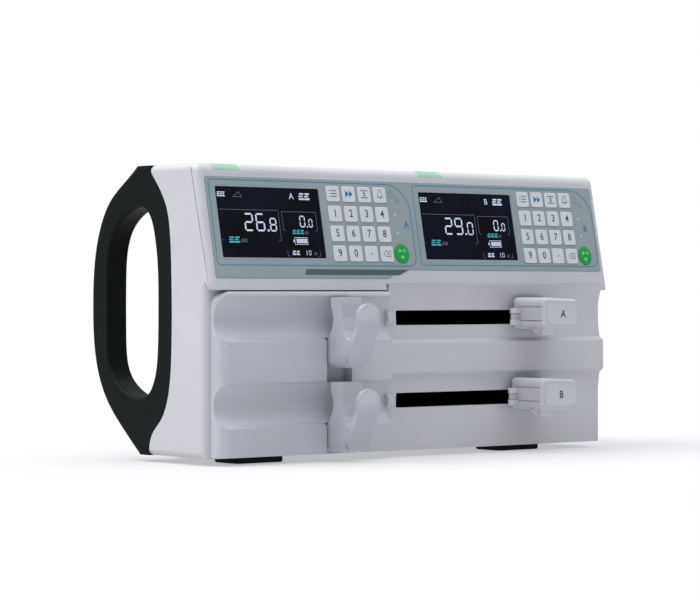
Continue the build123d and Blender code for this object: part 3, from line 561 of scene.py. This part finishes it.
def screen_picture(channel, shift, rate):
    """What one screen shows: rate, volume and battery, with plain bars in the place of words."""
    x0, y0 = SCREEN_X + shift, SCREEN_S
    top = y0 + SCREEN_H
    lift = GLASS_LIFT + SCREEN_PRINT_LIFT

    def show(name, loops, glow):
        panel_print(f"screen_{channel}_{name}", loops, glow, "pump_body", lift)

    show("rate", number_loops(rate, x0 + 23.2, y0 + 19.4, 8.2, 13.6, 1.3, 0.76), GLOW_WHITE)
    show("volume", number_loops("0.0", x0 + 74.5, y0 + 23.0, 5.2, 8.8, 0.95, 0.74), GLOW_WHITE)
    x1, x2, x3, x4, x5 = x0 + 1.5, x0 + 55.5, x0 + 58.5, x0 + 60.0, x0 + 90.5
    rule = top - 17.4
    paths = [
        [(x1, top - 16.6), (x2, top - 16.6)],
        [(x2, rule), (x2, y0 + 13.2), (x2 - 2.5, y0 + 12.2)],
        [(x1, y0 + 12.6), (x1 + 1.5, y0 + 12.6)],
        [(x3 + 2, y0 + 20), (x3, y0 + 21), (x3, rule), (x5, rule), (x5, y0 + 21), (x5 - 2, y0 + 20)],
        [(x4, y0 + 5.2), (x4, y0 + 1.4), (x4 + 2.0, y0 + 1.0)],
        [(x5, y0 + 5.2), (x5, y0 + 1.4), (x5 - 2.0, y0 + 1.0)],
    ]
    frame_lines = []
    for path in paths:
        frame_lines += strip_quads(path, 0.3)
    show("frame", frame_lines, GLOW_DIM)
    triangle = [(x0 + 15.5, top - 7.0), (x0 + 21.3, top - 3.2), (x0 + 23.5, top - 7.0)]
    show("triangle", strip_quads(triangle, 0.35, closed=True), GLOW_DIM)
    show("plug", label_bars(x0 + 1.2, top - 7.0, (2.4, 2.0, 2.0), 3.6, 0.3), GLOW_WHITE)
    bars = label_bars(x0 + 76.5, top - 8.2, (4.8, 4.8), 5.2)
    show("heading", bars, GLOW_WHITE)
    text_mesh(f"screen_{channel}_letter", channel.upper(), x0 + 69.5, top - 5.8, 6.6, lift,
              GLOW_WHITE, "pump_body")
    show("rate_label", label_bars(x0 + 7.4, y0 + 10.6, (4.6, 4.6), 4.6), GLOW_TEAL)
    show("rate_unit", label_bars(x0 + 18.6, y0 + 11.2, (1.6, 1.1, 1.6), 2.4, 0.5), GLOW_DIM)
    show("volume_label", label_bars(x0 + 66.8, y0 + 17.8, (3.2, 3.2, 3.2), 3.2), GLOW_TEAL)
    show("volume_unit", label_bars(x0 + 78.4, y0 + 18.0, (1.3, 1.3), 2.0), GLOW_DIM)
    show("size_label", label_bars(x0 + 64.4, y0 + 2.0, (3.2, 3.0), 3.2), GLOW_WHITE)
    show("size_value", segment_loops("0", x0 + 79.6, y0 + 1.9, 2.4, 3.6, 0.5)
         + [rect(x0 + 77.6, y0 + 1.9, x0 + 78.1, y0 + 5.5)], GLOW_WHITE)
    show("size_unit", label_bars(x0 + 84.6, y0 + 2.1, (1.4, 1.0), 2.0), GLOW_DIM)
    battery = strip_quads([(x0 + 68.0, y0 + 10.0), (x0 + 80.0, y0 + 10.0), (x0 + 80.0, y0 + 15.2),
                           (x0 + 68.0, y0 + 15.2)], 0.35, closed=True)
    battery += [rect(x0 + 66.6, y0 + 11.6, x0 + 67.6, y0 + 13.6)]
    battery += [rect(x0 + 69.6 + i * 2.0, y0 + 10.9, x0 + 71.3 + i * 2.0, y0 + 14.3) for i in range(5)]
    show("battery", battery, GLOW_WHITE)


for channel, shift, rate in (("a", 0.0, "26.8"), ("b", CHANNEL_SHIFT, "29.0")):
    screen_picture(channel, shift, rate)


# ---------------------------------------------------------------- springs behind the clamps
SPRING_TURNS = 5
WIRE_R = 0.0007           # metres, like the boxes read from the frame
WIRE_SIDES = 8
STEPS_PER_TURN = 24


def coil_mesh(name, x, y, z, length, radius):
    """Round wire wound about a line along Y that starts at (x, y, z)."""
    mesh = bmesh.new()
    steps = STEPS_PER_TURN * SPRING_TURNS
    rings = []
    for i in range(steps + 1):
        turn = 2 * math.pi * SPRING_TURNS * i / steps
        out = Vector((math.cos(turn), 0, math.sin(turn)))
        centre = Vector((x, y + length * i / steps, z)) + radius * out
        section = []
        for k in range(WIRE_SIDES):
            a = 2 * math.pi * k / WIRE_SIDES
            offset = math.cos(a) * out + Vector((0, math.sin(a), 0))
            section.append(mesh.verts.new(centre + WIRE_R * offset))
        rings.append(section)
    for first, second in zip(rings, rings[1:]):
        for k in range(WIRE_SIDES):
            after = (k + 1) % WIRE_SIDES
            mesh.faces.new((first[k], first[after], second[after], second[k]))
    mesh.faces.new(rings[0])
    mesh.faces.new(list(reversed(rings[-1])))
    bmesh.ops.recalc_face_normals(mesh, faces=mesh.faces)
    data = bpy.data.meshes.new(name)
    mesh.to_mesh(data)
    mesh.free()
    for face in data.polygons:
        face.use_smooth = len(face.vertices) == 4
    return data


def clamp_springs():
    """One coil spring for each clamp, between its bush and the rod's collar, wound in the box of the CAD springs,
    which it replaces.
    """
    low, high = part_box("clamp_springs")
    coil_r = (high.x - low.x) / 2 - WIRE_R
    half_h = coil_r + WIRE_R
    x = (low.x + high.x) / 2
    start, length = low.y + WIRE_R, high.y - low.y - 2 * WIRE_R
    for channel, z in (("a", high.z - half_h), ("b", low.z + half_h)):
        name = f"clamp_spring_{channel}"
        spring = bpy.data.objects.new(name, coil_mesh(name, x, start, z, length, coil_r))
        bpy.context.scene.collection.objects.link(spring)
        spring.data.materials.append(MATS["spring_steel"])
        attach(spring, "pump_body")
        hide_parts("clamp_springs")
        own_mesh(spring)


clamp_springs()


# ---------------------------------------------------------------- letters on the plunger heads
LETTER_FROM_RIGHT = 0.0190   # metres, from the head's box to the middle of the letter
LETTER_ABOVE_MIDDLE = 0.0015
LETTER_LIFT = 0.00005


def head_letters():
    """One channel letter on the front of each plunger head, turned upright from the panel's slope."""
    for channel in "ab":
        low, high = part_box(f"drive_head_{channel}")
        middle_z = (low.z + high.z) / 2 + LETTER_ABOVE_MIDDLE
        piece = text_mesh(f"head_letter_{channel}", channel.upper(), 0, 0, 8.0, 0, INK_DARK,
                          f"drive_{channel}", bold=0.15)
        flat = Matrix((PANEL_RIGHT, PANEL_UP, PANEL_NORMAL)).transposed().to_4x4()
        flat.translation = on_panel(0, 0, 0)
        stand = Matrix((Vector((1, 0, 0)), Vector((0, 0, 1)), Vector((0, -1, 0)))).transposed().to_4x4()
        stand.translation = Vector((high.x - LETTER_FROM_RIGHT, low.y - LETTER_LIFT, middle_z))
        piece.data.transform(stand @ flat.inverted())


head_letters()


# ---------------------------------------------------------------- floor, light, camera
FLOOR_HALF = 12.0         # metres from the middle of the floor to its edge
FLOOR_GLOW = 0.4
SKY_TOP = 2.6
SKY_FALL = 2.0            # how fast the sky darkens towards the horizon
BACKDROP = 1.0
SUN_FROM = (-0.62, 0.4, 0.75)
SUN_POWER = 1.9
SUN_SPREAD = 50           # degrees across, for soft shadows
CAMERA_PLACE = (-1136.8, -1551.5, 120.5)   # design millimetres
CAMERA_YAW, CAMERA_PITCH = 39.34, -0.17    # degrees
CAMERA_LENS = 137.5


def studio_floor():
    """Pale floor with a faint glow of its own, so that the shadow under the case stays light."""
    mesh = bmesh.new()
    corners = ((-1, -1), (1, -1), (1, 1), (-1, 1))
    mesh.faces.new([mesh.verts.new((x * FLOOR_HALF, y * FLOOR_HALF, 0)) for x, y in corners])
    data = bpy.data.meshes.new("floor")
    mesh.to_mesh(data)
    mesh.free()
    floor = bpy.data.objects.new("floor", data)
    bpy.context.scene.collection.objects.link(floor)
    mat, tree, bsdf = new_material("floor_m")
    soft = noise(tree, 2.0)
    tint = ramp(tree, soft.outputs["Fac"], (0.36, 0.36, 0.36, 1), (0.38, 0.38, 0.38, 1))
    tree.links.new(tint.outputs["Color"], bsdf.inputs["Base Color"])
    bsdf.inputs["Emission Color"].default_value = (0.97, 0.98, 1.0, 1)
    bsdf.inputs["Emission Strength"].default_value = FLOOR_GLOW
    bsdf.inputs["Roughness"].default_value = 0.9
    bsdf.inputs["Specular IOR Level"].default_value = 0.1
    data.materials.append(mat)


def studio_world():
    """Soft surround, brighter overhead, with a plain pale backdrop."""
    world = bpy.data.worlds.new("studio")
    world.use_nodes = True
    tree = world.node_tree
    background = tree.nodes["Background"]
    coords = tree.nodes.new("ShaderNodeTexCoord")
    split = tree.nodes.new("ShaderNodeSeparateXYZ")
    height = tree.nodes.new("ShaderNodeMapRange")
    tree.links.new(coords.outputs["Generated"], split.inputs["Vector"])
    tree.links.new(split.outputs["Z"], height.inputs["Value"])
    fall = tree.nodes.new("ShaderNodeMath")
    fall.operation = "POWER"
    fall.inputs[1].default_value = SKY_FALL
    tree.links.new(height.outputs["Result"], fall.inputs[0])
    power = tree.nodes.new("ShaderNodeMath")
    power.operation = "MULTIPLY"
    power.inputs[1].default_value = SKY_TOP
    tree.links.new(fall.outputs[0], power.inputs[0])
    background.inputs["Color"].default_value = (0.95, 0.97, 1.0, 1)
    tree.links.new(power.outputs[0], background.inputs["Strength"])
    backdrop = tree.nodes.new("ShaderNodeBackground")
    backdrop.inputs["Color"].default_value = (1, 1, 1, 1)
    backdrop.inputs["Strength"].default_value = BACKDROP
    ray = tree.nodes.new("ShaderNodeLightPath")
    mix = tree.nodes.new("ShaderNodeMixShader")
    tree.links.new(ray.outputs["Is Camera Ray"], mix.inputs["Fac"])
    tree.links.new(background.outputs["Background"], mix.inputs[1])
    tree.links.new(backdrop.outputs["Background"], mix.inputs[2])
    tree.links.new(mix.outputs["Shader"], tree.nodes["World Output"].inputs["Surface"])
    bpy.context.scene.world = world


def studio_sun():
    """Broad soft light from above, behind and to the left."""
    data = bpy.data.lights.new("soft_sun", "SUN")
    data.energy = SUN_POWER
    data.angle = math.radians(SUN_SPREAD)
    data.color = (1.0, 0.995, 0.99)
    sun = bpy.data.objects.new("soft_sun", data)
    bpy.context.scene.collection.objects.link(sun)
    sun.rotation_euler = (-Vector(SUN_FROM)).to_track_quat("-Z", "Y").to_euler()


def camera():
    data = bpy.data.cameras.new("photo_view")
    data.lens = CAMERA_LENS
    data.sensor_width = 36.0
    data.clip_end = 50.0
    cam = bpy.data.objects.new("photo_view", data)
    bpy.context.scene.collection.objects.link(cam)
    cam.location = place(*CAMERA_PLACE)
    yaw, pitch = math.radians(CAMERA_YAW), math.radians(CAMERA_PITCH)
    look = Vector((math.sin(yaw) * math.cos(pitch), math.cos(yaw) * math.cos(pitch), math.sin(pitch)))
    cam.rotation_euler = look.to_track_quat("-Z", "Y").to_euler()
    bpy.context.scene.camera = cam


studio_floor()
studio_world()
studio_sun()
camera()
bpy.context.scene.view_settings.view_transform = "Standard"
